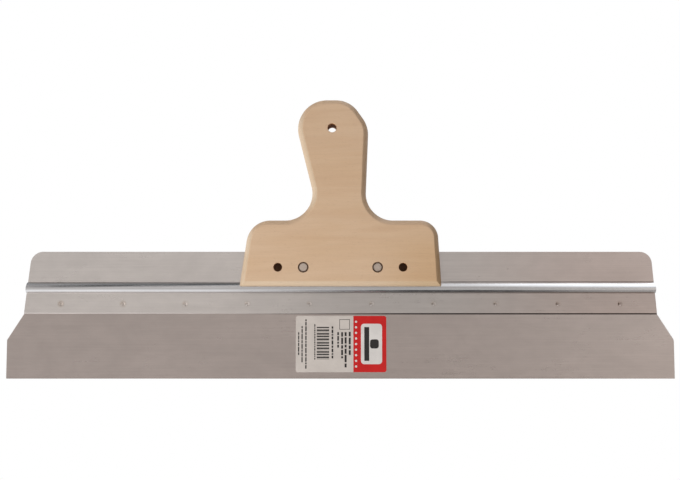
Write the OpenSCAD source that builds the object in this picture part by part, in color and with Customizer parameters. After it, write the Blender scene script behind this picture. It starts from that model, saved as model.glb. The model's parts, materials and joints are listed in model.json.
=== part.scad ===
// Drywall taping knife with a 600 mm blade.
// A thin steel blade is spot-welded behind a stiffening spine, which is one folded sheet with a
// half-round bead. A wooden board handle is slotted over the spine and held by two rivets.
//
// X runs along the blade and Z from the working edge up to the handle's head. The front, with the
// bead and the label, faces -Y. Y = 0 is the middle plane of the spine's sheet and of the handle.
// Outlines are drawn in the X-Z plane.

/* [Blade] */
// Length of the working edge
blade_w = 600; // [560:5:700]
// Thickness of the blade sheet
blade_t = 0.5; // [0.3:0.1:0.8]
// Height of the square ends above the working edge
blade_end_h = 34.5; // [25:0.5:45]
// Corner radius at the top of the left square end
blade_left_r = 0.8; // [0.5:0.1:6]
// Corner radius at the top of the right square end
blade_right_r = 5; // [0.5:0.1:6]
// Corner radius at the tips of the working edge
blade_tip_r = 0.5; // [0.3:0.1:2]
// How far the blade reaches up behind the spine
blade_lap = 17; // [12:0.5:18]

/* [Spine] */
// Height of the spine's lower edge above the working edge
spine_bottom_z = 58; // [54:0.5:62]
// Height of the spine's upper edge above the working edge
spine_top_z = 114; // [110:0.5:118]
// Thickness of the spine sheet
spine_t = 1; // [0.8:0.1:1.5]
// How far the spine's lower corners lie inside the blade's ends
spine_inset = 14.8; // [10:0.2:25]
// How far the spine's left end leans in between its lower and upper edge
spine_left_lean = 6.2; // [0:0.1:12]
// How far the spine's right end leans in between its lower and upper edge
spine_right_lean = 4.5; // [0:0.1:12]
// Radius of the spine's upper corners
spine_corner_r = 10; // [2:1:18]
// Height of the bead's axis above the working edge
bead_z = 81.5; // [80.5:0.5:83]
// Outer radius of the half-round bead
bead_r = 4.9; // [4:0.1:5.5]

/* [Spot welds] */
// Number of spot welds
weld_count = 10; // [4:1:10]
// Distance between spot welds
weld_pitch = 56; // [40:1:56]
// Height of the spot welds above the working edge
weld_z = 67; // [64:0.5:70]
// Diameter of the dimple that a weld leaves
weld_d = 4.2; // [3:0.1:6]
// Depth of the dimple in the spine
weld_depth = 0.3; // [0.1:0.05:0.4]
// Depth of the dimple in the back of the blade
weld_back_depth = 0.15; // [0.05:0.05:0.2]

/* [Handle] */
// Thickness of the wooden board
board_t = 22; // [18:1:28]
// Radius of the rounded edges
edge_r = 7.5; // [5:0.5:9]
// Width of the rounded edges, seen from the front
edge_w = 4.5; // [2:0.5:5]
// Width of the handle's foot
foot_w = 181.5; // [170:0.5:200]
// Height of the foot above the working edge
foot_z = 82.5; // [82:0.1:83.5]
// Height of the shoulders above the working edge
shoulder_z = 142; // [136:0.5:150]
// Height of the head above the working edge
head_z = 252; // [240:1:270]
// Corner radius of the foot
foot_r = 1.5; // [1:0.5:6]
// How far the left side leans in between foot and shoulder
left_lean = 9; // [4:0.5:14]
// How far the right side leans in between foot and shoulder
right_lean = 3.5; // [1:0.5:14]
// Radius of the left shoulder
left_shoulder_r = 21.5; // [16:0.5:26]
// Radius of the right shoulder
right_shoulder_r = 16.5; // [12:0.5:24]
// Distance from the middle to the grip's left side, at shoulder height
grip_left = 18.5; // [16:0.5:22]
// Distance from the middle to the grip's right side, at shoulder height
grip_right = 22; // [18:0.5:24]
// Radius of the hollows between shoulders and grip
neck_r = 24.5; // [18:0.5:26]
// Distance from the middle to the head's left side, at its top
head_left = 46; // [42:0.5:50]
// Distance from the middle to the head's widest point on the right
head_right = 25.5; // [24:0.5:30]
// Radius of the left half of the head
head_left_r = 26.5; // [22:0.5:27]

/* [Holes and rivets] */
// Diameter of the hanging hole
hang_d = 8; // [6:0.5:10]
// Distance of the hanging hole below the top of the head
hang_drop = 26.5; // [20:0.5:32]
// How far the hanging hole lies to the left of the middle
hang_left = 7.5; // [4:0.5:11]
// Height of the rivets and spare holes above the working edge
row_z = 99.5; // [97:0.5:104]
// Distance between the two rivets
rivet_pitch = 66.5; // [50:0.5:80]
// Distance between the two spare holes
spare_pitch = 112; // [100:0.5:130]
// Diameter of the spare holes
spare_d = 7.7; // [6:0.1:9]
// Diameter of a rivet's shank
shank_d = 5; // [4:0.5:5.5]
// Diameter of a rivet's head
rivet_head_d = 7.4; // [6.6:0.1:8.2]
// Thickness of a rivet's head
rivet_head_t = 1.5; // [1:0.1:2]
// Diameter of the recess around a rivet's head
recess_d = 9.4; // [8.6:0.1:11]
// How far a rivet's head lies below the board's face
rivet_sink = 0.3; // [0.1:0.1:0.6]

/* [Label] */
// Width of the label
label_w = 81.5; // [60:0.5:100]
// Height of the label
label_h = 50.5; // [35:0.5:51]
// Height of the label's lower edge above the working edge
label_z = 5.7; // [3:0.1:6]
// How far the label's middle lies to the right of the blade's middle
label_x = 0.6; // [-20:0.1:20]
// Thickness of the label
label_t = 0.1; // [0.1:0.05:0.2]
// Corner radius of the label
label_r = 2; // [1:0.5:4]

/* [Hidden] */

$fn = 64;
// Length by which a cutting solid passes the face that it cuts
over = 1;
// Play of the rivet's shank in its hole, and of the bead under the board
shank_play = 0.05;
bead_play = 0.1;
// Free height above the spine in the board's slot
slot_play = 0.5;
// How far the hidden top of the blade lies inside the spine's ends
blade_tuck = 1.5;
// Corner radius where no rounding shows
small_r = 0.5;
// Smallest corner radius of the handle's outline where it is drawn in for the rounded edges
mitre_r = 0.3;
// The head's right half: a short slope between the top and the side
head_slope_x = 8.5;
head_slope_r = 24;
head_side_drop = 24;
head_side_r = 26;
// Facets of the rounded edge across the board, and the turn per facet along its outline
edge_facets = 6;
outline_step = 6;
corner_step = 30;

spine_half_bottom = blade_w / 2 - spine_inset;
blade_top_z = spine_bottom_z + blade_lap;
// Share of the spine's height up to which the blade reaches behind it
lap_share = blade_lap / (spine_top_z - spine_bottom_z);
blade_front_y = spine_t / 2;
blade_back_y = blade_front_y + blade_t;
hang_z = head_z - hang_drop;
recess_depth = rivet_head_t + rivet_sink;
hub_z = shoulder_z - 2.5 * edge_w;
// Turn of the rounded edge from the board's side to the ridge where it meets the face
edge_turn = acos(1 - edge_w / edge_r);

// Outlines are lists of corners [x, z, corner radius], counter-clockwise seen from the front.
BLADE_CORNERS = [
    [-blade_w / 2, 0, blade_tip_r],
    [blade_w / 2, 0, blade_tip_r],
    [blade_w / 2, blade_end_h, blade_right_r],
    [spine_half_bottom, spine_bottom_z, small_r],
    [spine_half_bottom - spine_right_lean * lap_share - blade_tuck, blade_top_z, small_r],
    [-spine_half_bottom + spine_left_lean * lap_share + blade_tuck, blade_top_z, small_r],
    [-spine_half_bottom, spine_bottom_z, small_r],
    [-blade_w / 2, blade_end_h, blade_left_r]
];
SPINE_CORNERS = [
    [-spine_half_bottom, spine_bottom_z, small_r],
    [spine_half_bottom, spine_bottom_z, small_r],
    [spine_half_bottom - spine_right_lean, spine_top_z, spine_corner_r],
    [-spine_half_bottom + spine_left_lean, spine_top_z, spine_corner_r]
];
HANDLE_CORNERS = [
    [-foot_w / 2, foot_z, foot_r],
    [foot_w / 2, foot_z, foot_r],
    [foot_w / 2 - right_lean, shoulder_z, right_shoulder_r],
    [grip_right, shoulder_z, neck_r],
    [head_right, head_z - head_side_drop, head_side_r],
    [head_slope_x, head_z, head_slope_r],
    [-head_left, head_z, head_left_r],
    [-grip_left, shoulder_z, neck_r],
    [-foot_w / 2 + left_lean, shoulder_z, left_shoulder_r]
];
LABEL_CORNERS = [
    [label_x - label_w / 2, label_z, label_r],
    [label_x + label_w / 2, label_z, label_r],
    [label_x + label_w / 2, label_z + label_h, label_r],
    [label_x - label_w / 2, label_z + label_h, label_r]
];

// ---------------------------------------------------------------- outline helpers

function unit(v) = v / norm(v);
function point(c) = [c[0], c[1]];
function turn(a, b) = a[0] * b[1] - a[1] * b[0];
function before(corners, i) = corners[(i + len(corners) - 1) % len(corners)];
function after(corners, i) = corners[(i + 1) % len(corners)];
function to_before(corners, i) = unit(point(before(corners, i)) - point(corners[i]));
function to_after(corners, i) = unit(point(after(corners, i)) - point(corners[i]));
function is_hollow(corners, i) = turn(to_after(corners, i), to_before(corners, i)) < 0;
function half_angle(corners, i) = acos(to_before(corners, i) * to_after(corners, i)) / 2;
function tangent_length(corners, i) = corners[i][2] / tan(half_angle(corners, i));
// Point on the corner's bisector that lies the given distance away from both sides
function on_bisector(corners, i, distance) =
    point(corners[i])
    + unit(to_before(corners, i) + to_after(corners, i)) * distance / sin(half_angle(corners, i));
function arc_centre(corners, i) = on_bisector(corners, i, corners[i][2]);

// Where the straight sides of a corner end and its arc begins
function tangent_points(corners, i) = [
    point(corners[i]) + to_before(corners, i) * tangent_length(corners, i),
    point(corners[i]) + to_after(corners, i) * tangent_length(corners, i)
];

// Polygon with a true arc at each corner
module rounded_outline(corners) {
    all = [0 : len(corners) - 1];
    difference() {
        union() {
            polygon([for (i = all) each tangent_points(corners, i)]);
            for (i = all) if (!is_hollow(corners, i)) {
                translate(arc_centre(corners, i)) circle(r = corners[i][2]);
            }
        }
        for (i = all) if (is_hollow(corners, i)) {
            translate(arc_centre(corners, i)) circle(r = corners[i][2]);
        }
    }
}

// Plate with an X-Z outline between the planes y_front and y_back
module plate(y_front, y_back) {
    translate([0, y_back, 0])
        rotate([90, 0, 0])
            linear_extrude(y_back - y_front) children();
}

// Cylinder along Y between the planes y_front and y_back
module bore(x, z, d, y_front, y_back) {
    translate([x, y_back, z])
        rotate([90, 0, 0])
            cylinder(d = d, h = y_back - y_front);
}

// Cylinder along X over the whole blade
module rod(r, y, z) {
    translate([-blade_w / 2, y, z])
        rotate([0, 90, 0])
            cylinder(r = r, h = blade_w);
}

// Balls that sink a dimple of the given depth into a face at y. side is -1 for a front face.
module weld_dimples(y, side, depth) {
    ball_r = (weld_d * weld_d / 4 + depth * depth) / (2 * depth);
    for (i = [0 : weld_count - 1]) {
        translate([(i - (weld_count - 1) / 2) * weld_pitch, y + side * (ball_r - depth), weld_z])
            sphere(r = ball_r);
    }
}

// ---------------------------------------------------------------- steel

module blade() {
    color([0.62, 0.58, 0.55])
        difference() {
            plate(blade_front_y, blade_back_y) rounded_outline(BLADE_CORNERS);
            weld_dimples(blade_back_y, 1, weld_back_depth);
        }
}

// Section of the spine, full length: a flat sheet with a half-round bead pressed out to the front
module spine_section() {
    sheet_h = spine_top_z - spine_bottom_z;
    difference() {
        union() {
            translate([-blade_w / 2, -spine_t / 2, spine_bottom_z]) cube([blade_w, spine_t, sheet_h]);
            intersection() {
                rod(bead_r, -spine_t / 2, bead_z);
                translate([-blade_w / 2, -spine_t / 2 - bead_r, bead_z - bead_r])
                    cube([blade_w, bead_r, 2 * bead_r]);
            }
        }
        rod(bead_r - spine_t, -spine_t / 2, bead_z);
    }
}

module spine() {
    color([0.70, 0.66, 0.63])
        difference() {
            intersection() {
                spine_section();
                plate(-bead_r - over, spine_t) rounded_outline(SPINE_CORNERS);
            }
            weld_dimples(-spine_t / 2, -1, weld_depth);
            for (side = [-1, 1]) {
                bore(side * rivet_pitch / 2, row_z, shank_d + 2 * shank_play, -spine_t, spine_t);
            }
        }
}

// ---------------------------------------------------------------- handle

// Points along the arc of corner i, with the whole outline drawn in by inset. A round corner that is
// smaller than the inset ends in a mitre.
function arc_points(corners, i, inset) =
    let (
        full_r = corners[i][2],
        hollow = is_hollow(corners, i),
        r = hollow ? full_r + inset : max(full_r - inset, mitre_r),
        centre = on_bisector(corners, i, hollow ? full_r : r + inset),
        start = tangent_points(corners, i)[0] - arc_centre(corners, i),
        finish = tangent_points(corners, i)[1] - arc_centre(corners, i),
        start_angle = atan2(start[1], start[0]),
        sweep = atan2(turn(start, finish), start * finish),
        steps = ceil(abs(sweep) / (full_r > edge_w ? outline_step : corner_step))
    )
    [for (k = [0 : steps])
        centre + r * [cos(start_angle + sweep * k / steps), sin(start_angle + sweep * k / steps)]];

function ring(corners, inset) = [for (i = [0 : len(corners) - 1]) each arc_points(corners, i, inset)];

// Steps through the board from front to back, as [y, inset]: a rounded edge, a side, a rounded edge
function board_steps() =
    let (
        turns = [for (k = [0 : edge_facets]) edge_turn * k / edge_facets],
        front = [for (a = turns)
            [-board_t / 2 + edge_r * (sin(edge_turn) - sin(a)), edge_r * (1 - cos(a))]]
    )
    concat([for (k = [edge_facets : -1 : 0]) front[k]], [for (step = front) [-step[0], step[1]]]);

// The board with its edges rounded all round, skinned over the rings of board_steps(). Each flat
// face is a fan about a hub, from which the whole outline can be seen.
module rounded_board() {
    steps = board_steps();
    count = len(ring(HANDLE_CORNERS, 0));
    last = len(steps) - 1;
    front_hub = count * len(steps);
    back_hub = front_hub + 1;
    rings = [for (step = steps) for (p = ring(HANDLE_CORNERS, step[1])) [p[0], step[0], p[1]]];
    hubs = [for (side = [-1, 1]) [0, side * board_t / 2, hub_z]];
    front_face = [for (i = [0 : count - 1]) [(i + 1) % count, i, front_hub]];
    back_face = [for (i = [0 : count - 1]) [last * count + i, last * count + (i + 1) % count, back_hub]];
    sides = [for (j = [0 : last - 1]) for (i = [0 : count - 1])
        let (next = (i + 1) % count)
        [j * count + i, j * count + next, (j + 1) * count + next, (j + 1) * count + i]];
    polyhedron(concat(rings, hubs), concat(front_face, back_face, sides));
}

// Slot for the spine's sheet, open at the foot and at both sides
module spine_slot() {
    translate([-foot_w / 2 - over, -spine_t / 2, foot_z - over])
        cube([foot_w + 2 * over, spine_t, spine_top_z + slot_play - foot_z + over]);
}

// Cove in the front half of the foot, which sits over the bead
module bead_cove() {
    intersection() {
        rod(bead_r + bead_play, -spine_t / 2, bead_z);
        translate([-blade_w / 2, -spine_t / 2 - 2 * bead_r, bead_z - 2 * bead_r])
            cube([blade_w, 2 * bead_r, 4 * bead_r]);
    }
}

module handle() {
    color([0.80, 0.67, 0.54])
        difference() {
            rounded_board();
            spine_slot();
            bead_cove();
            bore(-hang_left, hang_z, hang_d, -board_t / 2 - over, board_t / 2 + over);
            for (side = [-1, 1]) {
                bore(side * spare_pitch / 2, row_z, spare_d, -board_t / 2 - over, board_t / 2 + over);
                bore(side * rivet_pitch / 2, row_z, shank_d + 2 * shank_play, -board_t / 2, board_t / 2);
                bore(side * rivet_pitch / 2, row_z, recess_d, -board_t / 2 - over, -board_t / 2 + recess_depth);
                bore(side * rivet_pitch / 2, row_z, recess_d, board_t / 2 - recess_depth, board_t / 2 + over);
            }
        }
}

// Solid rivet with a flat head on each face of the board
module rivet(x) {
    face_y = board_t / 2 - rivet_sink;
    color([0.75, 0.73, 0.71])
        union() {
            bore(x, row_z, shank_d, -face_y, face_y);
            bore(x, row_z, rivet_head_d, -face_y, -face_y + rivet_head_t);
            bore(x, row_z, rivet_head_d, face_y - rivet_head_t, face_y);
        }
}

module rivet_left() {
    rivet(-rivet_pitch / 2);
}

module rivet_right() {
    rivet(rivet_pitch / 2);
}

// ---------------------------------------------------------------- label

module label() {
    color([0.88, 0.85, 0.82])
        plate(blade_front_y - label_t, blade_front_y) rounded_outline(LABEL_CORNERS);
}

blade();
spine();
handle();
rivet_left();
rivet_right();
label();
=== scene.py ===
"""Looks of a drywall taping knife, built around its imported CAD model.

X runs along the blade, Z from the working edge up to the handle's head, and the front faces -Y.
Lengths are in metres. Outlines are lists of corners (x, z, corner radius) in the X-Z plane.
"""

import json
import math

import bmesh
import bpy
from mathutils import Matrix, Vector, noise


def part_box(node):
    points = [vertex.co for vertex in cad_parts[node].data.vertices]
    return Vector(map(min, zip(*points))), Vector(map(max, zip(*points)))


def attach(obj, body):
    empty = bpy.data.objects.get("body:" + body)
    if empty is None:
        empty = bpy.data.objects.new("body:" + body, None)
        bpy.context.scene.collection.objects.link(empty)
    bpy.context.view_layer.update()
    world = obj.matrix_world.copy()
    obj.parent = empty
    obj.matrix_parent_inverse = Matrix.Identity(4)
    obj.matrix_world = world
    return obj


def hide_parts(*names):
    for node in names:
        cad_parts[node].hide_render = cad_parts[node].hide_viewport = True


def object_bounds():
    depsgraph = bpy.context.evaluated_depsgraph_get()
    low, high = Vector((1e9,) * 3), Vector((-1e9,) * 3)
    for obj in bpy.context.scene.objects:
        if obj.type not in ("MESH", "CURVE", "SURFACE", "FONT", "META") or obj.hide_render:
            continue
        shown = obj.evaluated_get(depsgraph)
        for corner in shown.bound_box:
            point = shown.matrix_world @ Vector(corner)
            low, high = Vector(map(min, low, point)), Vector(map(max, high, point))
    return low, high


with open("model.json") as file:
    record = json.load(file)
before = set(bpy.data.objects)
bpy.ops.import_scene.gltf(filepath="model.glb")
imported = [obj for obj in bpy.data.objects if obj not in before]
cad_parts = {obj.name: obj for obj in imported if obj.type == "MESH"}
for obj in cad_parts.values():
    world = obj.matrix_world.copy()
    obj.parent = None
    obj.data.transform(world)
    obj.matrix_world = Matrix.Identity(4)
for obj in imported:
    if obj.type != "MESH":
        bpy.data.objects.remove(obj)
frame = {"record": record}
cad_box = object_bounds()

MM = 0.001

# ---------------------------------------------------------------- sizes and places

BLADE_LO, BLADE_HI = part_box("blade")
SPINE_LO, SPINE_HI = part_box("spine")
HANDLE_LO, HANDLE_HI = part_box("handle")
LABEL_LO, LABEL_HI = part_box("label")
RIVET_BOXES = {name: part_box(name) for name in ("rivet_left", "rivet_right")}
MOUNTS = {mount["name"]: mount for mount in frame["record"]["mounts"]}

# Blade: its square ends are BLADE_END_H high, and BLADE_TUCK hides its upper corners behind the spine
BLADE_END_H = 34.5 * MM
BLADE_LEFT_R = 0.8 * MM
BLADE_RIGHT_R = 5 * MM
BLADE_TUCK = 1.5 * MM
SMALL_R = 0.5 * MM
SHEET_EDGE_R = 0.12 * MM

# Spine: its ends lean in towards the top, and its lower front edge is rounded
SPINE_T = 1 * MM
SPINE_FRONT_Y = SPINE_HI.y - SPINE_T
SPINE_HALF_BOTTOM = SPINE_HI.x
SPINE_LEFT_LEAN = 6.2 * MM
SPINE_RIGHT_LEAN = 4.5 * MM
SPINE_CORNER_R = 10 * MM
SPINE_ROLL_H = 1.5 * MM
SPINE_ROLL_DEPTH = 0.95 * SPINE_T
SPINE_BEVEL = 0.16 * MM
LAP_SHARE = (BLADE_HI.z - SPINE_LO.z) / (SPINE_HI.z - SPINE_LO.z)

# Bead: BEAD_REACH is how far its roots lie above and below its middle
BEAD_Z = 81.5 * MM
BEAD_R = 4.9 * MM
BEAD_ROOT_R = 0.35 * MM
BEAD_REACH = math.sqrt((BEAD_R + BEAD_ROOT_R) ** 2 - BEAD_ROOT_R**2)

# Spot welds
WELD_COUNT = 10
WELD_PITCH = 56 * MM
WELD_Z = 67 * MM
WELD_R = 2.1 * MM
SPINE_DIMPLE = 0.6 * MM
BLADE_DIMPLE = 0.14 * MM

# Handle: EDGE_W is how wide its rounded edges look from the front, and OVERCUT how far the
# cutters of its slot and cove reach past it
EDGE_R = 7.5 * MM
EDGE_W = 4.5 * MM
RIDGE_SOFTENING = 0.35 * MM
MITRE_R = 0.3 * MM
FOOT_HALF = 90.75 * MM
FOOT_R = 1.5 * MM
FOOT_Z = HANDLE_LO.z
HEAD_Z = HANDLE_HI.z
SHOULDER_Z = 142 * MM
SLOT_PLAY = 0.1 * MM
SLOT_TOP_Z = SPINE_HI.z + 0.5 * MM
COVE_PLAY = 0.25 * MM
OVERCUT = 5 * MM

# Holes and rivets
HANG_X, _, HANG_Z = MOUNTS["hanging_hole"]["pos_m"]
HANG_R = MOUNTS["hanging_hole"]["dims"]["r_mm"] * MM
HANG_MOUTH_R = 0.5 * MM
RIVET_LO, RIVET_HI = RIVET_BOXES["rivet_right"]
RIVET_X = (RIVET_LO.x + RIVET_HI.x) / 2
ROW_Z = (RIVET_LO.z + RIVET_HI.z) / 2
RIVET_HEAD_R = (RIVET_HI.x - RIVET_LO.x) / 2
RIVET_HEAD_T = 1.5 * MM
RIVET_SHANK_R = 2.5 * MM
SHANK_PLAY = 0.05 * MM
RECESS_R = 4.7 * MM
RECESS_DEPTH = 1.8 * MM
RECESS_MOUTH_R = 0.25 * MM
RECESS_FLOOR_BEVEL = 0.3 * MM
SPARE_X = 56 * MM
SPARE_R = 3.85 * MM
SPARE_MOUTH_R = 0.3 * MM

# ---------------------------------------------------------------- outlines

# Least turn per point in degrees, at corners with a radius of EDGE_W or less
SMALL_CORNER_STEP = 12
# Where the outer ring of a flat face lies, in radii of the rounded edge around it
RING_SHARE = 1.06


def unit(v):
    return v / v.length


def arc(corners, i, inset, step):
    """Points along the arc of corner i, with the whole outline drawn in by inset.

    Drawing in makes the arc of a hollow corner wider and that of any other corner tighter. One
    that is smaller than the inset ends in a mitre.
    """
    here = Vector(corners[i][:2])
    radius = corners[i][2]
    back = unit(Vector(corners[i - 1][:2]) - here)
    ahead = unit(Vector(corners[(i + 1) % len(corners)][:2]) - here)
    half = math.acos(max(-1, min(1, back.dot(ahead)))) / 2
    inward = unit(back + ahead) / math.sin(half)
    start = back / math.tan(half) - inward
    finish = ahead / math.tan(half) - inward
    hollow = ahead.x * back.y - ahead.y * back.x < 0
    first = math.atan2(start.y, start.x)
    sweep = math.atan2(start.x * finish.y - start.y * finish.x, start.dot(finish))
    if hollow:
        r = radius + inset
        centre = here + inward * radius
    else:
        r = max(radius - inset, MITRE_R) if inset else radius
        centre = here + inward * (r + inset)
    step = step if radius > EDGE_W else max(step, SMALL_CORNER_STEP)
    count = max(2, math.ceil(abs(sweep) / math.radians(step)))
    angles = [first + sweep * k / count for k in range(count + 1)]
    return [centre + Vector((math.cos(a), math.sin(a))) * r for a in angles]


def ring(corners, inset=0.0, step=4.0):
    """The whole outline, drawn in by inset, with one point for each step degrees of turn."""
    return [p for i in range(len(corners)) for p in arc(corners, i, inset, step)]


def rectangle(left, bottom, right, top, radius):
    return [(left, bottom, radius), (right, bottom, radius), (right, top, radius), (left, top, radius)]


def through_plate(y_front, y_back, rounding, rim):
    """Steps (y, inset) from front to back. rounding lists (depth, inset) from the side to the face."""
    front = [(y_front + depth, inset) for depth, inset in reversed(rounding)]
    back = [(y_back - depth, inset) for depth, inset in rounding]
    return [(y_front, rim)] + front + back + [(y_back, rim)]


def edge_steps(y_front, y_back, radius, facets):
    """Steps (y, inset) through a plate with rounded edges."""
    turns = [math.radians(90 * k / facets) for k in range(facets + 1)]
    rounding = [(radius * (1 - math.sin(a)), radius * (1 - math.cos(a))) for a in turns]
    return through_plate(y_front, y_back, rounding, radius * RING_SHARE)


def board_steps():
    """Steps (y, inset) through the board, whose rounded edges meet its faces at a softened ridge."""
    full_turn = math.acos(1 - EDGE_W / EDGE_R)
    last_turn = full_turn - RIDGE_SOFTENING / EDGE_R
    facets = 12
    rounding = []
    for k in range(facets + 1):
        a = last_turn * k / facets
        rounding.append((EDGE_R * (math.sin(full_turn) - math.sin(a)), EDGE_R * (1 - math.cos(a))))
    depth, inset = rounding[-1]
    on_face = EDGE_W + RIDGE_SOFTENING
    # Halfway along a curve from the last facet by way of the ridge to the face
    rounding.append((depth / 4, inset / 4 + EDGE_W / 2 + on_face / 4))
    rounding.append((0.0, on_face))
    return through_plate(HANDLE_LO.y, HANDLE_HI.y, rounding, on_face + RIDGE_SOFTENING)


# ---------------------------------------------------------------- meshes

# Points that lie closer than this are one
MERGE_DISTANCE = 1e-7
# A modifier bevels the edges that turn by more than this, in degrees
BEVEL_FROM = 50


def skin(bm, rings):
    """Closed skin over rings of points that all have the same count."""
    rows = [[bm.verts.new(p) for p in points] for points in rings]
    count = len(rows[0])
    for row, beyond in zip(rows, rows[1:]):
        for i in range(count):
            after = (i + 1) % count
            bm.faces.new((row[i], row[after], beyond[after], beyond[i]))
    bm.faces.new(list(reversed(rows[0])))
    bm.faces.new(rows[-1])


def plate(bm, corners, steps, step=4.0):
    """Plate with an outline of corners, through steps (y, inset) from front to back."""
    skin(bm, [[(p.x, y, p.y) for p in ring(corners, inset, step)] for y, inset in steps])


def lathe(bm, profile, x, z, segments=64):
    """Solid turned about an axis along Y through (x, z). The profile is a list of (y, r)."""
    turns = [2 * math.pi * k / segments for k in range(segments)]
    skin(bm, [[(x + r * math.cos(a), y, z + r * math.sin(a)) for a in turns] for y, r in profile])


def block(bm, lo, hi):
    """Box between two opposite corners."""
    middle = (Vector(lo) + Vector(hi)) / 2
    size = Vector(hi) - Vector(lo)
    bmesh.ops.create_cube(bm, size=1, matrix=Matrix.Translation(middle) @ Matrix.Diagonal((*size, 1)))


def mesh_object(name, bm):
    """A new object with the mesh that bm holds."""
    bmesh.ops.recalc_face_normals(bm, faces=bm.faces)
    mesh = bpy.data.meshes.new(name)
    bm.to_mesh(mesh)
    bm.free()
    obj = bpy.data.objects.new(name, mesh)
    bpy.context.scene.collection.objects.link(obj)
    return obj


def apply_modifiers(obj):
    """Makes what the object's modifiers show its own mesh."""
    bpy.context.view_layer.update()
    depsgraph = bpy.context.evaluated_depsgraph_get()
    made = bpy.data.meshes.new_from_object(obj.evaluated_get(depsgraph))
    old = obj.data
    obj.modifiers.clear()
    obj.data = made
    made.name = old.name
    bpy.data.meshes.remove(old)


def cut(obj, draw):
    """Takes away from obj the solid that draw(bm) builds."""
    bm = bmesh.new()
    draw(bm)
    cutter = mesh_object("cutter", bm)
    modifier = obj.modifiers.new("cut", "BOOLEAN")
    modifier.operation = "DIFFERENCE"
    modifier.solver = "EXACT"
    modifier.object = cutter
    apply_modifiers(obj)
    mesh = cutter.data
    bpy.data.objects.remove(cutter)
    bpy.data.meshes.remove(mesh)


def bevel_edges(obj, width):
    modifier = obj.modifiers.new("edges", "BEVEL")
    modifier.width = width
    modifier.segments = 2
    modifier.limit_method = "ANGLE"
    modifier.angle_limit = math.radians(BEVEL_FROM)
    apply_modifiers(obj)


def finish_piece(obj, material, nodes=(), sharp=25.0, bevel=0.0):
    """Cleans and shades the mesh, then gives the piece its material and its place in the frame."""
    bm = bmesh.new()
    bm.from_mesh(obj.data)
    bmesh.ops.remove_doubles(bm, verts=bm.verts, dist=MERGE_DISTANCE)
    bmesh.ops.dissolve_degenerate(bm, edges=bm.edges, dist=MERGE_DISTANCE)
    bm.to_mesh(obj.data)
    bm.free()
    if bevel:
        bevel_edges(obj, bevel)
    obj.data.shade_smooth()
    obj.data.set_sharp_from_angle(angle=math.radians(sharp))
    even = obj.modifiers.new("even_normals", "WEIGHTED_NORMAL")
    even.keep_sharp = True
    even.weight = 100
    obj.data.materials.clear()
    obj.data.materials.append(material)
    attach(obj, "root")
    if nodes:
        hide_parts(*nodes)


# ---------------------------------------------------------------- nodes


def rgb(r, g, b):
    return (r, g, b, 1.0)


class Nodes:
    """Short names for building the node tree that a subclass keeps in self.tree."""

    def add(self, kind, inputs=None, **settings):
        """A new node. Its inputs are given by name or number, as plain values or sockets."""
        made = self.tree.nodes.new(kind)
        for key, value in settings.items():
            setattr(made, key, value)
        for key, value in (inputs or {}).items():
            self.put(made.inputs[key], value)
        return made

    def put(self, socket, value):
        if isinstance(value, bpy.types.NodeSocket):
            self.tree.links.new(value, socket)
        else:
            socket.default_value = value

    def math(self, operation, a, b=0.0, c=0.0):
        return self.add("ShaderNodeMath", {0: a, 1: b, 2: c}, operation=operation).outputs[0]

    def times(self, a, b):
        return self.math("MULTIPLY", a, b)

    def plus(self, a, b):
        return self.math("ADD", a, b)

    def minus(self, a, b):
        return self.math("SUBTRACT", a, b)

    def remap(self, value, low, high, to_low=0.0, to_high=1.0):
        """A smooth step from to_low at low to to_high at high."""
        made = self.add(
            "ShaderNodeMapRange",
            {"Value": value, 1: low, 2: high, 3: to_low, 4: to_high},
            interpolation_type="SMOOTHSTEP",
        )
        return made.outputs[0]

    def mix(self, factor, a, b, blend="MIX"):
        """Colour a where factor is 0, and b blended over it where factor is 1."""
        made = self.add("ShaderNodeMix", data_type="RGBA", blend_type=blend)
        self.put(made.inputs[0], factor)
        self.put(made.inputs[6], a)
        self.put(made.inputs[7], b)
        return made.outputs[2]


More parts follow.
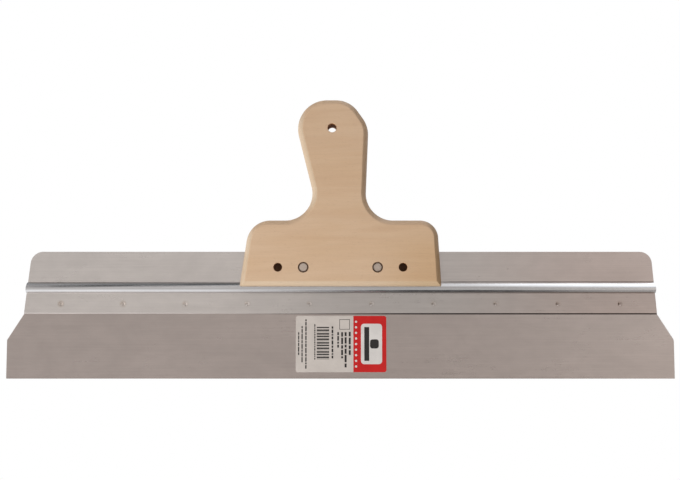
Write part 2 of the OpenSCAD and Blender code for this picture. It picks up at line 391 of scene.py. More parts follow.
class Tree(Nodes):
    """A node material whose patterns lie in the piece's own coordinates."""

    def __init__(self, name):
        self.material = bpy.data.materials.new(name)
        self.material.use_nodes = True
        self.tree = self.material.node_tree
        self.shader = self.tree.nodes["Principled BSDF"]
        self.point = self.add("ShaderNodeTexCoord").outputs["Object"]

    def shade(self, **values):
        """Sets or links inputs of the Principled shader: base_color=..., roughness=..."""
        names = {"specular": "Specular IOR Level"}
        for key, value in values.items():
            self.put(self.shader.inputs[names.get(key, key.replace("_", " ").title())], value)

    def axes(self):
        made = self.add("ShaderNodeSeparateXYZ", {0: self.point})
        return made.outputs[0], made.outputs[1], made.outputs[2]

    def stretched(self, scale, turn=0.0, shift=(0.0, 0.0, 0.0)):
        """Object coordinates turned about Y by turn degrees and scaled, in repeats a metre."""
        turned = self.add(
            "ShaderNodeVectorRotate",
            {"Vector": self.point, "Angle": math.radians(turn)},
            rotation_type="Y_AXIS",
        )
        inputs = {"Vector": turned.outputs[0], "Scale": scale, "Location": shift}
        return self.add("ShaderNodeMapping", inputs).outputs[0]

    def noise(self, vector, detail=2.0, roughness=0.5, distortion=0.0):
        inputs = {
            "Vector": vector,
            "Scale": 1.0,
            "Detail": detail,
            "Roughness": roughness,
            "Distortion": distortion,
        }
        return self.add("ShaderNodeTexNoise", inputs).outputs["Fac"]

    def tint(self, colour, factor):
        """Colour times a grey factor."""
        grey = self.add("ShaderNodeCombineColor", {0: factor, 1: factor, 2: factor})
        return self.mix(1.0, colour, grey.outputs[0], "MULTIPLY")

    def tint_where(self, factor, tone, colour):
        """Tone, and where factor is 1, tone times colour. Here it lays painted light and shade over a
        tone.
        """
        return self.mix(factor, tone, self.mix(1.0, tone, colour, "MULTIPLY"))

    def radius_from(self, x, z, at_x, at_z):
        dx = self.minus(x, at_x)
        dz = self.minus(z, at_z)
        return self.math("SQRT", self.plus(self.times(dx, dx), self.times(dz, dz)))

    def bump(self, height, distance, strength, under=None):
        inputs = {"Height": height, "Distance": distance, "Strength": strength}
        if under is not None:
            inputs["Normal"] = under
        return self.add("ShaderNodeBump", inputs).outputs[0]


# ---------------------------------------------------------------- wood


def wood_tone(t, drift, bands, fibres, fleck):
    """Pale wood with soft bands, warm clouds, fine fibres and short dark flecks."""
    pale = rgb(0.545, 0.377, 0.244)
    deep = rgb(0.508, 0.337, 0.209)
    warm = rgb(0.515, 0.337, 0.197)
    tone = t.mix(t.remap(bands, 0.30, 0.72), pale, deep)
    tone = t.mix(t.times(t.remap(drift, 0.40, 0.75), 0.6), tone, warm)
    tone = t.tint(tone, t.remap(fibres, 0.25, 0.75, 0.965, 1.03))
    return t.tint(tone, t.remap(fleck, 0, 1, 1.0, 0.86))


def paint_wood_light_and_end_grain(t, x, z, tone):
    """Painted shade, browner low on the right; painted sheen, cooler and paler on edges that face left or
    down; darker end grain, deepened by painted shade towards the right.
    """
    # Painted shade: browner low on the right of the board
    low_right_shade = t.times(t.remap(x, 15 * MM, 85 * MM), t.remap(z, 150 * MM, 105 * MM))
    tone = t.tint_where(low_right_shade, tone, rgb(0.935, 0.885, 0.785))
    # Painted sheen: edges that face left or down are cooler and paler
    geometry = t.add("ShaderNodeNewGeometry")
    normal = t.add("ShaderNodeSeparateXYZ", {0: geometry.outputs["True Normal"]})
    facing = t.plus(normal.outputs[0], normal.outputs[2])
    tone = t.tint_where(t.remap(facing, -0.1, -0.4), tone, rgb(0.94, 1.03, 1.10))
    # End grain is darker, and painted shade darkens it more towards the right
    end_grain = t.remap(t.math("ABSOLUTE", normal.outputs[0]), 0.15, 0.5)
    end_grain_and_shade = t.remap(x, 70 * MM, 85 * MM, 0.86, 0.78)
    return t.mix(end_grain, tone, t.tint(tone, end_grain_and_shade))


def paint_hole_shade(t, x, z, tone):
    """Painted shade, dark on the walls of the holes and recesses. Returns the tone and a mask of the
    walls.
    """
    side = t.math("ABSOLUTE", x)
    dark_brown = rgb(0.33, 0.145, 0.052)
    recess_shade = rgb(0.20, 0.125, 0.080)
    walls = [
        (t.radius_from(side, z, SPARE_X, ROW_Z), SPARE_R, dark_brown),
        (t.radius_from(side, z, RIVET_X, ROW_Z), RECESS_R, recess_shade),
        (t.radius_from(x, z, HANG_X, HANG_Z), HANG_R, dark_brown),
    ]
    dark = 0.0
    for distance, radius, colour in walls:
        wall = t.remap(distance, radius + 0.25 * MM, radius + 0.02 * MM)
        tone = t.mix(t.times(wall, 0.94), tone, colour)
        dark = t.math("MAXIMUM", dark, wall)
    return tone, dark


def wood_material():
    """Sanded pale hardwood with its grain along X and painted shade on the hole walls."""
    t = Tree("wood")
    x, _, z = t.axes()
    drift = t.noise(t.stretched((9, 30, 30)), detail=3, distortion=0.4)
    bands = t.noise(t.stretched((7, 60, 85), 2), detail=3, distortion=0.9)
    fibres = t.noise(t.stretched((40, 1500, 1900)), detail=4, roughness=0.6)
    flecks = t.noise(t.stretched((330, 2200, 2600), shift=(3, 1, 7)), detail=1)
    fleck = t.remap(flecks, 0.64, 0.74)
    tone = wood_tone(t, drift, bands, fibres, fleck)
    tone = paint_wood_light_and_end_grain(t, x, z, tone)
    tone, dark = paint_hole_shade(t, x, z, tone)
    rough = t.remap(drift, 0.3, 0.7, 0.46, 0.56)
    rough = t.plus(rough, t.remap(fibres, 0.3, 0.7, -0.03, 0.05))
    rough = t.plus(rough, t.times(dark, 0.35))
    height = t.plus(fibres, t.times(fleck, -0.6))
    t.shade(base_color=tone, roughness=rough, specular=0.5)
    t.shade(normal=t.bump(height, 0.05 * MM, 0.5, t.bump(bands, 0.15 * MM, 0.4)))
    return t.material


# ---------------------------------------------------------------- metals

BLADE_COLOUR = rgb(0.46, 0.392, 0.362)
SPINE_COLOUR = rgb(0.565, 0.517, 0.488)


def scratch_mask(t):
    """Two layers of long thin scratches that cross at a shallow angle."""
    scratches = 0.0
    for turn, shift, low in ((5, (1, 0, 3), 0.755), (-11, (9, 0, 5), 0.765)):
        layer = t.noise(t.stretched((9, 300, 2600), turn, shift), detail=0)
        scratches = t.math("MAXIMUM", scratches, t.remap(layer, low, low + 0.035))
    return scratches


def burnish_bead(t, proud, tone, rough):
    """Lighter and smoother metal where the bead stands proud of the sheet."""
    tone = t.mix(t.times(proud, 0.8), tone, rgb(0.575, 0.565, 0.570))
    return tone, t.plus(rough, t.times(proud, -0.12))


def mark_welds(t, x, z, tone, rough):
    """A burnt halo and ring at each weld, stronger towards the left end, and a dull middle."""
    offset = t.minus(t.math("WRAP", x, WELD_PITCH, 0.0), WELD_PITCH / 2)
    distance = t.radius_from(offset, z, 0.0, WELD_Z)
    burn = t.remap(x, -280 * MM, -60 * MM, 0.38, 0.12)
    halo = t.times(burn, t.remap(distance, 1.9 * WELD_R, 1.1 * WELD_R))
    tone = t.mix(halo, tone, rgb(0.42, 0.34, 0.27))
    dark_brown = rgb(0.22, 0.17, 0.14)
    beyond = t.remap(distance, 0.5 * WELD_R, 0.7 * WELD_R)
    within = t.remap(distance, 1.1 * WELD_R, 0.9 * WELD_R)
    around = t.times(t.times(t.times(beyond, within), burn), 1.2)
    tone = t.mix(around, tone, dark_brown)
    core = t.remap(distance, 0.8 * WELD_R, 0.3 * WELD_R)
    tone = t.mix(t.times(core, 0.42), tone, dark_brown)
    return tone, t.plus(rough, t.times(core, 0.06))


def shade_hole_floors(t, x, z, tone, rough):
    """Painted shade on the sheet where it shows through the board's two spare holes."""
    distance = t.radius_from(t.math("ABSOLUTE", x), z, SPARE_X, ROW_Z)
    painted_shade = t.remap(distance, SPARE_R + 0.8 * MM, SPARE_R + 0.2 * MM)
    tone = t.mix(painted_shade, tone, rgb(0.20, 0.115, 0.070))
    return tone, t.plus(rough, t.times(painted_shade, 0.35))


def paint_spine_light(t, x, z, proud, tone):
    """Painted light and reflection: the flat sheet is lighter towards the left, darker and warmer towards
    the right.
    """
    # Painted light on the flat sheet, brighter on the left
    above = t.remap(x, -150 * MM, 60 * MM, 1.13, 0.98)
    below = t.remap(x, -150 * MM, 60 * MM, 1.15, 0.87)
    upper = t.remap(z, BEAD_Z - BEAD_R, BEAD_Z + BEAD_R)
    sheet_light = t.plus(below, t.times(upper, t.minus(above, below)))
    flat = t.minus(1.0, proud)
    tone = t.tint(tone, t.plus(1.0, t.times(flat, t.minus(sheet_light, 1.0))))
    # Painted warm reflection, growing towards the right
    warm_reflection = t.times(flat, t.remap(x, 50 * MM, 250 * MM))
    return t.tint_where(warm_reflection, tone, rgb(0.90, 0.81, 0.78))


def shade_crease(t, x, z, tone):
    """A thin painted shade in the bead's upper root, on the right of the handle."""
    distance = t.math("ABSOLUTE", t.minus(z, BEAD_Z + BEAD_REACH))
    painted_shade = t.times(t.remap(distance, 0.75 * MM, 0.35 * MM), t.remap(x, 70 * MM, 110 * MM, 0, 0.5))
    return t.tint(tone, t.minus(1.0, painted_shade))


def hone_edge(t, z, tone, rough):
    """A narrow strip along the working edge, a little darker and smoother."""
    honed = t.remap(z, 1.1 * MM, 0.7 * MM)
    tone = t.tint(tone, t.remap(honed, 0, 1, 1.0, 0.94))
    return tone, t.plus(rough, t.times(honed, -0.06))


def shade_seam(t, x, z, tone):
    """Painted shade: the dark line where the spine ends on the blade, which fades towards the left."""
    distance = t.math("ABSOLUTE", t.minus(z, SPINE_LO.z))
    painted_shade = t.times(t.remap(distance, 0.78 * MM, 0.42 * MM), t.remap(x, -110 * MM, 90 * MM, 0, 0.93))
    return t.mix(painted_shade, tone, rgb(0.030, 0.024, 0.022))


def steel_material(name, colour, is_spine):
    """Satin cold-rolled sheet with rolling lines along X, clouds, scratches and wear, painted shade along
    the seam, and on the spine painted light and shade.
    """
    t = Tree(name)
    x, y, z = t.axes()
    clouds = t.noise(t.stretched((16, 30, 34)), detail=4, roughness=0.55, distortion=0.6)
    patches = t.noise(t.stretched((70, 90, 120), shift=(5, 0, 2)), detail=3, roughness=0.6)
    lines = t.noise(t.stretched((7, 40, 900)), detail=3, roughness=0.65)
    fine = t.noise(t.stretched((24, 200, 5200)), detail=2, roughness=0.6)

    tone = t.tint(colour, t.remap(clouds, 0.28, 0.72, 0.95, 1.05))
    tone = t.tint(tone, t.remap(lines, 0.25, 0.75, 0.965, 1.035))
    tone = t.tint(tone, t.remap(patches, 0.3, 0.7, 0.985, 1.015))
    tone = t.tint(tone, t.remap(scratch_mask(t), 0, 1, 1.0, 1.05))
    rough = t.remap(clouds, 0.3, 0.7, 0.36, 0.29)
    rough = t.plus(rough, t.remap(lines, 0.3, 0.7, -0.025, 0.025))
    rough = t.plus(rough, t.remap(patches, 0.3, 0.7, -0.02, 0.02))

    if is_spine:
        proud = t.remap(y, -0.8 * MM, -1.8 * MM)
        tone, rough = burnish_bead(t, proud, tone, rough)
        tone, rough = mark_welds(t, x, z, tone, rough)
        tone, rough = shade_hole_floors(t, x, z, tone, rough)
        tone = paint_spine_light(t, x, z, proud, tone)
        tone = shade_crease(t, x, z, tone)
    else:
        tone, rough = hone_edge(t, z, tone, rough)
    tone = shade_seam(t, x, z, tone)

    height = t.plus(t.times(lines, 0.6), t.times(fine, 0.4))
    t.shade(base_color=tone, metallic=1.0, roughness=rough)
    t.shade(normal=t.bump(height, 0.012 * MM, 0.5, t.bump(clouds, 0.15 * MM, 0.25)))
    return t.material


def rivet_material():
    """Dull aluminium, hammered flat, with painted shade towards the rim of the head and on the right
    rivet.
    """
    t = Tree("rivet_aluminium")
    x, _, z = t.axes()
    blows = t.noise(t.stretched((520, 300, 520)))
    grain = t.noise(t.stretched((2600, 2600, 2600)), detail=3, roughness=0.65)
    distance = t.radius_from(t.math("ABSOLUTE", x), z, RIVET_X, ROW_Z)
    painted_shade = t.remap(distance, 0.72 * RIVET_HEAD_R, 1.02 * RIVET_HEAD_R)
    tone = t.tint(rgb(0.545, 0.445, 0.375), t.remap(blows, 0.3, 0.7, 0.90, 1.08))
    # Painted shade: the right rivet is darker than the left
    tone = t.tint(tone, t.remap(x, -RIVET_X, RIVET_X, 1.0, 0.91))
    tone = t.tint(tone, t.remap(grain, 0.3, 0.7, 0.95, 1.05))
    # Painted shade towards the rim of the head, next to the recess wall
    tone = t.mix(t.times(painted_shade, 0.55), tone, rgb(0.25, 0.20, 0.165))
    rough = t.plus(t.remap(blows, 0.3, 0.7, 0.42, 0.52), t.times(painted_shade, 0.1))
    height = t.plus(blows, t.times(grain, 0.2))
    t.shade(base_color=tone, metallic=1.0, roughness=rough)
    t.shade(normal=t.bump(height, 0.10 * MM, 0.5))
    return t.material


# ---------------------------------------------------------------- print

FILM_COLOUR = rgb(0.475, 0.425, 0.385)
INK_COLOUR = rgb(0.030, 0.027, 0.026)
RED_COLOUR = rgb(0.455, 0.018, 0.017)
WHITE_COLOUR = rgb(0.565, 0.53, 0.50)


def print_material(name, colour):
    """Semi-gloss sticker film or ink, with faint mottling, scuffs and a slight orange peel."""
    t = Tree(name)
    mottle = t.noise(t.stretched((55, 55, 70)), detail=3, roughness=0.55)
    speckle = t.noise(t.stretched((2400, 2400, 2400)), detail=2, roughness=0.6)
    peel = t.noise(t.stretched((420, 420, 420)))
    scuff = t.remap(t.noise(t.stretched((30, 60, 900), 12, (2, 0, 4)), detail=1), 0.70, 0.76)
    tone = t.tint(colour, t.remap(mottle, 0.3, 0.7, 0.93, 1.03))
    tone = t.tint(tone, t.remap(speckle, 0.3, 0.7, 0.97, 1.03))
    tone = t.tint(tone, t.remap(scuff, 0, 1, 1.0, 0.94))
    rough = t.remap(mottle, 0.3, 0.7, 0.33, 0.42)
    rough = t.plus(rough, t.times(scuff, 0.12))
    t.shade(base_color=tone, roughness=rough, specular=0.08)
    t.shade(normal=t.bump(peel, 0.02 * MM, 0.35))
    return t.material


# ---------------------------------------------------------------- steel pieces

BLADE_CORNERS = [
    (BLADE_LO.x, BLADE_LO.z, SMALL_R),
    (BLADE_HI.x, BLADE_LO.z, SMALL_R),
    (BLADE_HI.x, BLADE_END_H, BLADE_RIGHT_R),
    (SPINE_HALF_BOTTOM, SPINE_LO.z, SMALL_R),
    (SPINE_HALF_BOTTOM - LAP_SHARE * SPINE_RIGHT_LEAN - BLADE_TUCK, BLADE_HI.z, SMALL_R),
    (-SPINE_HALF_BOTTOM + LAP_SHARE * SPINE_LEFT_LEAN + BLADE_TUCK, BLADE_HI.z, SMALL_R),
    (-SPINE_HALF_BOTTOM, SPINE_LO.z, SMALL_R),
    (BLADE_LO.x, BLADE_END_H, BLADE_LEFT_R),
]


def weld_places():
    return [(i - (WELD_COUNT - 1) / 2) * WELD_PITCH for i in range(WELD_COUNT)]


def weld_mark(y, outward, depth):
    """Turned profile of a dimple in a face at y, deepest in its middle and soft at its rim."""
    mouth_r = WELD_R * 1.1
    outside = 0.5 * MM
    lip = 0.02 * MM
    profile = [(y + outward * outside, mouth_r), (y + outward * lip, mouth_r)]
    for share in (1.0, 0.92, 0.84, 0.74, 0.62, 0.5, 0.38, 0.24, 0.1, 0.01):
        profile.append((y - outward * depth * (1 - share**2) ** 1.5, WELD_R * share))
    return profile


def cut_welds(obj, y, outward, depth):
    for x in weld_places():
        cut(obj, lambda bm: lathe(bm, weld_mark(y, outward, depth), x, WELD_Z, 32))


def make_blade(material):
    bm = bmesh.new()
    steps = edge_steps(BLADE_LO.y, BLADE_HI.y, SHEET_EDGE_R, 3)
    plate(bm, BLADE_CORNERS, steps, step=8)
    obj = mesh_object("blade_sheet", bm)
    cut_welds(obj, BLADE_HI.y, 1, BLADE_DIMPLE)
    finish_piece(obj, material, ["blade"])


def sheet_point(y, z, normal_y, normal_z):
    """A point on the sheet's front with the one behind it, for a normal that points forward."""
    return (y, z, y - normal_y * SPINE_T, z - normal_z * SPINE_T)


def lower_edge():
    """Part of the spine's section: the rounded lower edge."""
    facets = 5
    points = []
    for k in range(facets + 1):
        a = math.radians(90 - 90 * k / facets)
        y = SPINE_FRONT_Y + SPINE_ROLL_DEPTH * (1 - math.cos(a))
        z = SPINE_LO.z + SPINE_ROLL_H * (1 - math.sin(a))
        points.append((y, z, SPINE_HI.y, z))
    return points


def bead_root(a, side):
    """A point of the fillet at the bead's lower (-1) or upper (1) root, a radians from the sheet."""
    y = SPINE_FRONT_Y - BEAD_ROOT_R * (1 - math.cos(a))
    z = BEAD_Z + side * (BEAD_REACH - BEAD_ROOT_R * math.sin(a))
    return sheet_point(y, z, -math.cos(a), side * math.sin(a))


def bead():
    """Part of the spine's section: the half-round bead with a fillet at each root."""
    facets = 32
    root_facets = 6
    root_turn = math.atan2(BEAD_REACH, BEAD_ROOT_R)
    root = [root_turn * k / root_facets for k in range(root_facets + 1)]
    points = [bead_root(a, -1) for a in root]
    first = -math.pi + root_turn
    for k in range(1, facets):
        a = first - (2 * math.pi + 2 * first) * k / facets
        y = math.cos(a)
        z = math.sin(a)
        points.append(sheet_point(SPINE_FRONT_Y + BEAD_R * y, BEAD_Z + BEAD_R * z, y, z))
    return points + [bead_root(a, 1) for a in reversed(root)]


def upper_sheet():
    """Part of the spine's section: the flat up to the top, in steps that suit the round corners."""
    facets = 16
    points = []
    for k in range(facets + 1):
        rise = SPINE_CORNER_R * math.sin(math.radians(90 * k / facets))
        points.append(sheet_point(SPINE_FRONT_Y, SPINE_HI.z - SPINE_CORNER_R + rise, -1.0, 0.0))
    return points


def spine_end(z, side):
    """Where the spine's left (-1) or right (1) end is at height z."""
    share = (z - SPINE_LO.z) / (SPINE_HI.z - SPINE_LO.z)
    lean = SPINE_LEFT_LEAN if side < 0 else SPINE_RIGHT_LEAN
    reach = SPINE_HALF_BOTTOM - lean * share
    rise = z - (SPINE_HI.z - SPINE_CORNER_R)
    if rise > 0:
        reach -= SPINE_CORNER_R - math.sqrt(max(0, SPINE_CORNER_R**2 - rise**2))
    return side * reach


def make_spine(material):
    """One skin around the section, from the left end to the right."""
    bm = bmesh.new()
    rows = []
    for y, z, back_y, back_z in lower_edge() + bead() + upper_sheet():
        front = [bm.verts.new((spine_end(z, side), y, z)) for side in (-1, 1)]
        back = [bm.verts.new((spine_end(back_z, side), back_y, back_z)) for side in (-1, 1)]
        rows.append((front, back))
    for (front, back), (front_up, back_up) in zip(rows, rows[1:]):
        bm.faces.new((front[0], front[1], front_up[1], front_up[0]))
        bm.faces.new((back[1], back[0], back_up[0], back_up[1]))
        for side in (0, 1):
            bm.faces.new((front[side], back[side], back_up[side], front_up[side]))
    for front, back in (rows[0], rows[-1]):
        bm.faces.new((front[0], front[1], back[1], back[0]))
    obj = mesh_object("spine_sheet", bm)
    cut_welds(obj, SPINE_FRONT_Y, -1, SPINE_DIMPLE)
    finish_piece(obj, material, ["spine"], sharp=14, bevel=SPINE_BEVEL)


# ---------------------------------------------------------------- handle

# From the foot's left corner to the right: foot, right shoulder, grip and head, then the left side
HANDLE_CORNERS = [
    (-FOOT_HALF, FOOT_Z, FOOT_R),
    (FOOT_HALF, FOOT_Z, FOOT_R),
    (FOOT_HALF - 3.5 * MM, SHOULDER_Z, 16.5 * MM),
    (22 * MM, SHOULDER_Z, 24.5 * MM),
    (25.5 * MM, HEAD_Z - 24 * MM, 26 * MM),
    (8.5 * MM, HEAD_Z, 24 * MM),
    (-46 * MM, HEAD_Z, 26.5 * MM),
    (-18.5 * MM, SHOULDER_Z, 24.5 * MM),
    (-FOOT_HALF + 9 * MM, SHOULDER_Z, 21.5 * MM),
]


def mouth(y, inward, radius, rounding):
    """Profile (y, r) of a hole's rounded mouth in a face at y, from outside the board inwards."""
    outside = 1 * MM
    profile = [(y - inward * outside, radius + rounding)]
    for degrees in (0, 30, 60, 90):
        a = math.radians(degrees)
        profile.append((y + inward * rounding * (1 - math.cos(a)), radius + rounding * (1 - math.sin(a))))
    return profile


def through_hole(bm, x, z, radius, rounding):
    front = mouth(HANDLE_LO.y, 1, radius, rounding)
    back = mouth(HANDLE_HI.y, -1, radius, rounding)
    lathe(bm, front + back[::-1], x, z)


def recess(bm, x, y, inward):
    """Recess for a rivet's head in the face at y, with a beveled floor."""
    floor = y + inward * RECESS_DEPTH
    profile = mouth(y, inward, RECESS_R, RECESS_MOUTH_R)
    profile.append((floor - inward * RECESS_FLOOR_BEVEL, RECESS_R))
    profile.append((floor, RECESS_R - RECESS_FLOOR_BEVEL))
    lathe(bm, profile, x, ROW_Z)


def spine_slot(bm):
    """Saw slot for the spine's sheet, right through from side to side."""
    reach = FOOT_HALF + OVERCUT
    lo = (-reach, SPINE_FRONT_Y - SLOT_PLAY, FOOT_Z - OVERCUT)
    hi = (reach, SPINE_HI.y + SLOT_PLAY, SLOT_TOP_Z)
    block(bm, lo, hi)


def bead_cove(bm):
    """Half-round groove over the bead, from side to side."""
    facets = 36
    reach = FOOT_HALF + OVERCUT
    radius = BEAD_R + COVE_PLAY
    turns = [math.radians(90 + 180 * k / facets) for k in range(facets + 1)]
    section = [(SPINE_FRONT_Y + radius * math.cos(a), BEAD_Z + radius * math.sin(a)) for a in turns]
    section += [(0.0, BEAD_Z - radius), (0.0, BEAD_Z + radius)]
    skin(bm, [[(x, y, z) for y, z in section] for x in (-reach, reach)])


def make_handle(material):
    bm = bmesh.new()
    plate(bm, HANDLE_CORNERS, board_steps(), step=2.5)
    obj = mesh_object("handle_board", bm)
    cut(obj, spine_slot)
    cut(obj, bead_cove)
    cut(obj, lambda bm: through_hole(bm, HANG_X, HANG_Z, HANG_R, HANG_MOUTH_R))
    for side in (-1, 1):
        cut(obj, lambda bm: through_hole(bm, side * SPARE_X, ROW_Z, SPARE_R, SPARE_MOUTH_R))
        cut(obj, lambda bm: through_hole(bm, side * RIVET_X, ROW_Z, RIVET_SHANK_R + SHANK_PLAY, 0.0))
        cut(obj, lambda bm: recess(bm, side * RIVET_X, HANDLE_LO.y, 1))
        cut(obj, lambda bm: recess(bm, side * RIVET_X, HANDLE_HI.y, -1))
    finish_piece(obj, material, ["handle"])


# ---------------------------------------------------------------- rivets

# Hammer blows on the heads, inside a rim
BLOW_DEPTH = 0.07 * MM
BLOWS_PER_METRE = 520
BLOW_REACH = 0.9
FACE_DEPTH = 0.3 * MM


def rivet_profile():
    """Profile (y, r) of a rivet: a domed head at each end of the shank."""
    dome = 0.3 * MM
    rise = 0.15 * MM
    rim = 0.35 * MM
    top = RIVET_LO.y
    shares = [0.02, 0.16, 0.3, 0.44, 0.58, 0.72, 0.84]
    head = [(top + dome * s * s - rise, RIVET_HEAD_R * s) for s in shares]
    for degrees in (0, 30, 60, 90):
        a = math.radians(degrees)
        head.append((top + rise + rim * (1 - math.cos(a)), RIVET_HEAD_R - rim * (1 - math.sin(a))))
    under = top + RIVET_HEAD_T
    head += [(under, RIVET_HEAD_R), (under, RIVET_SHANK_R)]
    return head + [(-y, r) for y, r in reversed(head)]


def hammer(bm, x, face_y):
    """Moves the points on both heads' faces in and out by uneven blows."""
    for v in bm.verts:
        away = math.hypot(v.co.x - x, v.co.z - ROW_Z) / RIVET_HEAD_R
        if abs(v.co.y) > face_y - FACE_DEPTH and away < BLOW_REACH:
            blow = noise.noise(Vector((v.co.x, v.co.y * 0.2, v.co.z)) * BLOWS_PER_METRE)
            v.co.y += BLOW_DEPTH * blow


def make_rivet(name, material):
    lo, hi = RIVET_BOXES[name]
    x = (lo.x + hi.x) / 2
    bm = bmesh.new()
    lathe(bm, rivet_profile(), x, ROW_Z, 48)
    hammer(bm, x, -lo.y)
    obj = mesh_object(name + "_body", bm)
    finish_piece(obj, material, [name], sharp=40)


# ---------------------------------------------------------------- label

FILM_EDGE_R = 0.03 * MM
INK_T = 0.02 * MM
LABEL_CORNER_R = 2 * MM
LABEL_W = LABEL_HI.x - LABEL_LO.x
LABEL_H = LABEL_HI.z - LABEL_LO.z

# From here on, places on the label are in millimetres from its lower left corner
RED_LEFT = 51.8
RED_MARGIN = 0.06

# Plain shapes: left, bottom, right, top
BARS = (18.8, 11.6, 30.0, 40.6)
BOX = (39.2, 38.2, 48.6, 47.4)
PANEL = (58.6, 7.2, 77.6, 43.4)
SIGN_BLADE = (61.6, 10.2, 66.0, 40.4)
SIGN_HANDLE = (66.8, 21.2, 74.6, 29.4)

# A row of dots that runs up the label
DOT_COUNT = 9
DOT_PITCH = 5.0
DOT_R = 1.0
DOT_X = 54.2
LOWEST_DOT = 5.2

# Columns of print: left side, width, bottom, top and length of a dash
COLUMNS = [
    (2.0, 1.1, 14.4, 35.8, 3.0),
    (5.1, 1.1, 8.9, 41.3, 3.6),
    (8.5, 1.2, 2.8, 47.4, 3.2),
    (16.6, 1.0, 11.2, 43.0, 1.6),
    (32.2, 1.5, 12.4, 41.0, 2.6),
    (37.3, 1.5, 22.0, 35.8, 3.4),
    (40.8, 1.7, 12.4, 35.8, 4.0),
    (43.9, 1.8, 1.6, 35.8, 4.6),
    (47.6, 1.8, 15.5, 36.2, 4.2),
]


def on_label(left, bottom, right, top, radius):
    """Corners of a rectangle on the label."""
    return rectangle(
        LABEL_LO.x + left * MM,
        LABEL_LO.z + bottom * MM,
        LABEL_LO.x + right * MM,
        LABEL_LO.z + top * MM,
        radius * MM,
    )


def ink_piece(name, shapes, material, layer=0):
    """Thin printed shapes on the label's face, layer by layer."""
    bm = bmesh.new()
    back = LABEL_LO.y - layer * INK_T
    for corners in shapes:
        plate(bm, corners, [(back - INK_T, 0.0), (back, 0.0)], step=20)
    finish_piece(mesh_object(name, bm), material)


def text_column(left, width, bottom, top, dash):
    """A line of print that runs down the label, as plain dashes of uneven length."""
    shapes = []
    at = top
    k = 0
    while at - dash * 0.4 > bottom:
        uneven = (k * 7 + int(left * 3)) % 5
        length = dash * (0.55 + 0.45 * uneven / 2)
        low = max(bottom, at - length)
        shapes.append(on_label(left, low, left + width, at, 0.1))
        at = low - 0.55 * width
        k += 1
    return shapes


def bar_stack(left, bottom, right, top):
    """A stack of plain bars of uneven thickness."""
    thinnest = 0.3
    shapes = []
    at = bottom
    k = 0
    while at < top - 2 * thinnest:
        thick = thinnest * (1 + (k * k + 2 * k) % 4)
        gap = thinnest * (1 + (k * 5 + 1) % 3)
        shapes.append(on_label(left, at, right, min(at + thick, top), 0.04))
        at += thick + gap
        k += 1
    return shapes


def frame_shape(left, bottom, right, top, line):
    """Four thin strips that make an empty box, with hairline gaps between them."""
    gap = 0.02
    corner = 0.05
    inner_left = left + line + gap
    inner_right = right - line - gap
    return [
        on_label(left, bottom, left + line, top, corner),
        on_label(right - line, bottom, right, top, corner),
        on_label(inner_left, bottom, inner_right, bottom + line, corner),
        on_label(inner_left, top - line, inner_right, top, corner),
    ]


def dot_row():
    """Round dots, as squares whose corners are rounded nearly to their middles."""
    corner = DOT_R * 0.98
    heights = [LOWEST_DOT + DOT_PITCH * k for k in range(DOT_COUNT)]
    return [on_label(DOT_X - DOT_R, h - DOT_R, DOT_X + DOT_R, h + DOT_R, corner) for h in heights]


def red_field():
    """The label's red end: square corners on the left, the label's round ones on the right."""
    right = LABEL_W / MM - RED_MARGIN
    top = LABEL_H / MM - RED_MARGIN
    corner = LABEL_CORNER_R / MM - RED_MARGIN
    square = 0.1 * MM
    middle = LABEL_LO.x + (RED_LEFT + right) / 2 * MM
    field = on_label(RED_LEFT, RED_MARGIN, right, top, corner)
    return [(x, z, r if x > middle else square) for x, z, r in field]


def make_label(film, ink, red, white):
    bm = bmesh.new()
    corners = rectangle(LABEL_LO.x, LABEL_LO.z, LABEL_HI.x, LABEL_HI.z, LABEL_CORNER_R)
    plate(bm, corners, edge_steps(LABEL_LO.y, LABEL_HI.y, FILM_EDGE_R, 2), step=8)
    finish_piece(mesh_object("label_film", bm), film, ["label"])

    ink_piece("label_red", [red_field()], red)
    ink_piece("label_lines", [shape for column in COLUMNS for shape in text_column(*column)], ink)
    ink_piece("label_bars", bar_stack(*BARS), ink)
    ink_piece("label_box", frame_shape(*BOX, line=0.45), ink)

    ink_piece("label_dots", dot_row(), white, layer=1)
    ink_piece("label_panel", [on_label(*PANEL, radius=3.0)], white, layer=1)
    sign = [on_label(*SIGN_BLADE, radius=0.4), on_label(*SIGN_HANDLE, radius=2.2)]
    ink_piece("label_tool_sign", sign, ink, layer=2)


# ---------------------------------------------------------------- stage, lights and camera


def make_floor():
    """A pale floor well below the knife, white to the camera and left out of reflections."""
    size = 6.0
    top = -0.16
    thickness = 0.02
    bm = bmesh.new()
    block(bm, (-size, -size, top - thickness), (size, size, top))
    floor = mesh_object("floor", bm)
    t = Tree("floor_white")
    speck = t.noise(t.stretched((40, 40, 40)))
    tone = t.tint(rgb(0.8, 0.8, 0.8), t.remap(speck, 0.3, 0.7, 0.99, 1.01))
    t.shade(base_color=tone, roughness=0.8)
    seen = t.add("ShaderNodeLightPath").outputs["Is Camera Ray"]
    glow = t.add("ShaderNodeEmission", {"Color": rgb(1, 1, 1), "Strength": 1.0})
    both = t.add("ShaderNodeMixShader", {0: seen, 1: t.shader.outputs[0], 2: glow.outputs[0]})
    t.put(t.tree.nodes["Material Output"].inputs["Surface"], both.outputs[0])
    floor.data.materials.append(t.material)
    floor.visible_glossy = False
    floor.visible_diffuse = False
    floor.visible_shadow = False


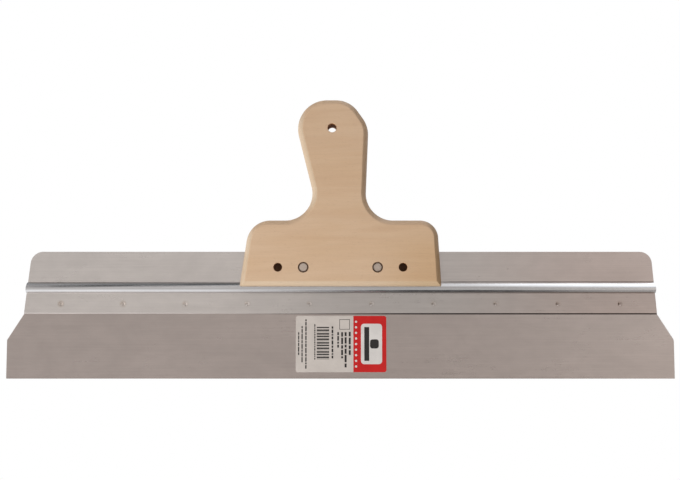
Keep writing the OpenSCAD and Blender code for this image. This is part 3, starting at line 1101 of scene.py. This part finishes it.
class Sky(Nodes):
    """Radiance of the studio around the knife, built up zone by zone from the ray's direction.

    across is the direction's share along X. lift is its angle in degrees in the plane across X:
    0 is level to the front, 90 straight up, -90 straight down and 180 level to the back.
    """

    def __init__(self, world):
        self.tree = world.node_tree
        direction = self.add("ShaderNodeTexCoord").outputs["Generated"]
        parts = self.add("ShaderNodeSeparateXYZ", {0: direction})
        self.across = parts.outputs[0]
        turn = self.math("ARCTAN2", parts.outputs[2], self.times(parts.outputs[1], -1.0))
        self.lift = self.times(turn, 180 / math.pi)

    def band(self, value, low, high, soft):
        """1 between low and high, 0 outside, with soft ends. None leaves an end open."""
        made = 1.0
        if low is not None:
            made = self.times(made, self.remap(value, low - soft, low + soft))
        if high is not None:
            made = self.times(made, self.remap(value, high + soft, high - soft))
        return made

    def zone(self, below, colour, across, lift, soft_across=0.06, soft_lift=10, lean=0):
        """Lays colour over below, between the limits of across and lift.

        lean moves the limits of lift by that many degrees for each whole of across.
        """
        lifted = self.minus(self.lift, self.times(self.across, lean))
        mask = self.times(
            self.band(self.across, *across, soft_across), self.band(lifted, *lift, soft_lift)
        )
        return self.mix(mask, below, colour)


def grey(level, warm=0.0):
    return rgb(level * (1 + warm), level, level * (1 - warm))


ROOM_LEVEL = 0.88

# Zones of the studio, each laid over those before it: brightness, warmth, limits of across, limits
# of lift, and where they aren't the usual ones, how soft both are and how much the zone leans
ZONES = [
    # In front, which the flat sheets mirror, brighter low on the right and on the left
    (0.56, 0.02, (-0.64, 0.64), (-30, 30)),
    (1.9, 0.05, (0.34, 0.58), (-40, -2)),
    (0.80, 0.01, (-0.64, -0.08), (-30, 0)),
    (0.95, 0.01, (-0.64, -0.08), (0, 28)),
    # Above on the left, dim, with a dark streak
    (0.42, -0.03, (-0.64, 0.05), (62, 150)),
    (0.10, -0.06, (-0.34, -0.06), (85, 137), 0.04, 8, 300),
    # Below, bright on the left and dim from the middle to the right
    (1.35, -0.02, (-0.64, -0.09), (-160, -46), 0.06, 14),
    (0.33, 0.0, (-0.02, 0.24), (-160, -42), 0.04, 12),
    (0.60, 0.03, (0.22, 0.66), (-160, -42), 0.04, 12),
    (0.09, 0.0, (-0.02, 0.22), (-132, -52), 0.04, 12),
    # Above on the right, bright, and dim behind
    (0.30, 0.0, (0.05, 0.50), (112, 165), 0.04, 6),
    (2.3, -0.05, (0.165, 0.42), (38, 132), 0.05, 8),
    (1.7, -0.05, (0.21, 0.42), (8, 50), 0.04, 8),
    # A dark wall far right and a bright one far left
    (0.10, 0.3, (0.60, None), (-138, 138)),
    (1.6, 0.0, (None, -0.70), (None, None), 0.10),
]


def make_world():
    """White where the camera sees it, and a studio of soft bright and dark zones for the rest."""
    world = bpy.data.worlds.new("studio")
    bpy.context.scene.world = world
    world.use_nodes = True
    world.node_tree.nodes.clear()
    sky = Sky(world)
    light = grey(ROOM_LEVEL)
    for level, warm, *limits in ZONES:
        light = sky.zone(light, grey(level, warm), *limits)
    seen = sky.add("ShaderNodeBackground", {"Color": rgb(1, 1, 1)})
    room = sky.add("ShaderNodeBackground", {"Color": light})
    path = sky.add("ShaderNodeLightPath")
    factor = path.outputs["Is Camera Ray"]
    both = sky.add("ShaderNodeMixShader", {0: factor, 1: room.outputs[0], 2: seen.outputs[0]})
    sky.add("ShaderNodeOutputWorld", {0: both.outputs[0]})


def panel(name, place, aim, width, height, power, colour=(1.0, 1.0, 1.0)):
    """A soft light that only diffuse surfaces see."""
    data = bpy.data.lights.new(name, "AREA")
    data.shape = "RECTANGLE"
    data.size = width
    data.size_y = height
    data.energy = power
    data.color = colour
    obj = bpy.data.objects.new(name, data)
    bpy.context.scene.collection.objects.link(obj)
    obj.location = place
    obj.rotation_euler = (Vector(aim) - Vector(place)).to_track_quat("-Z", "Y").to_euler()
    obj.visible_camera = False
    obj.visible_glossy = False


def make_lights():
    """A key from low on the left and a fill from behind. The studio world does the rest."""
    middle = (0.0, 0.0, 0.12)
    panel("key_left", (-0.55, -0.30, -0.35), middle, 0.35, 0.35, 4.5, (0.98, 1.0, 1.04))
    panel("fill_back", (-0.6, 1.7, 0.6), middle, 1.2, 1.0, 12)


def make_camera():
    """At the photo's angle: square on, a little below the knife's middle and looking up."""
    lo, hi = cad_box
    aim_left = 0.4 * MM
    aim_share = 0.4949
    target = Vector(((lo.x + hi.x) / 2 - aim_left, 0.0, lo.z + aim_share * (hi.z - lo.z)))
    distance = 0.9
    look_up = math.radians(4.4)
    data = bpy.data.cameras.new("camera")
    data.lens = 52.58
    data.sensor_width = 36
    obj = bpy.data.objects.new("camera", data)
    bpy.context.scene.collection.objects.link(obj)
    obj.location = target - distance * Vector((0, math.cos(look_up), math.sin(look_up)))
    obj.rotation_euler = (math.radians(90) + look_up, 0, 0)
    bpy.context.scene.camera = obj


# ---------------------------------------------------------------- build

make_camera()
make_world()
make_lights()
make_floor()
bpy.context.scene.view_settings.view_transform = "Standard"

make_blade(steel_material("blade_steel", BLADE_COLOUR, is_spine=False))
make_spine(steel_material("spine_steel", SPINE_COLOUR, is_spine=True))
make_handle(wood_material())
RIVET_METAL = rivet_material()
for rivet in RIVET_BOXES:
    make_rivet(rivet, RIVET_METAL)
make_label(
    print_material("label_film", FILM_COLOUR),
    print_material("label_ink", INK_COLOUR),
    print_material("label_red", RED_COLOUR),
    print_material("label_white", WHITE_COLOUR),
)

bpy.context.view_layer.update()
